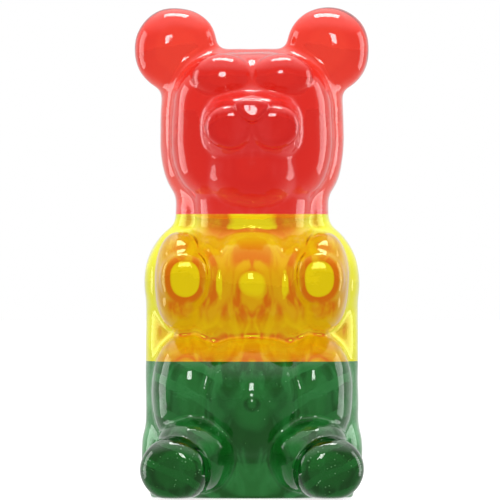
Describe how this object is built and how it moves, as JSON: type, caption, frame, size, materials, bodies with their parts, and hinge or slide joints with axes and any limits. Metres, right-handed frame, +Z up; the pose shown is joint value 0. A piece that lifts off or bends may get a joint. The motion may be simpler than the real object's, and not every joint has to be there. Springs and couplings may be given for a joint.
{
  "type": "giant gummy bear",
  "caption": "Large seated jelly sweet in the shape of a bear, moulded in green, yellow and red flavour layers, with round ears, raised paws and a flat back.",
  "frame": {"origin": "on the ground, under the middle of the bear's box", "axes": "+Z up from the seat to the ears, -Y out of the face and the soles of the feet, +Y out of the flat back, X across the bear"},
  "size_m": [0.1146, 0.0889, 0.24],
  "materials": {
    "green_jelly": "clear green fruit jelly, glossy and lightly oiled, with a few fine bubbles",
    "yellow_jelly": "clear golden yellow fruit jelly, glossy and lightly oiled",
    "red_jelly": "clear bright red fruit jelly, glossy and lightly oiled"
  },
  "bodies": {
    "root": {"green_seat": "green_jelly", "yellow_belly": "yellow_jelly", "red_head": "red_jelly"}
  },
  "joints": []
}
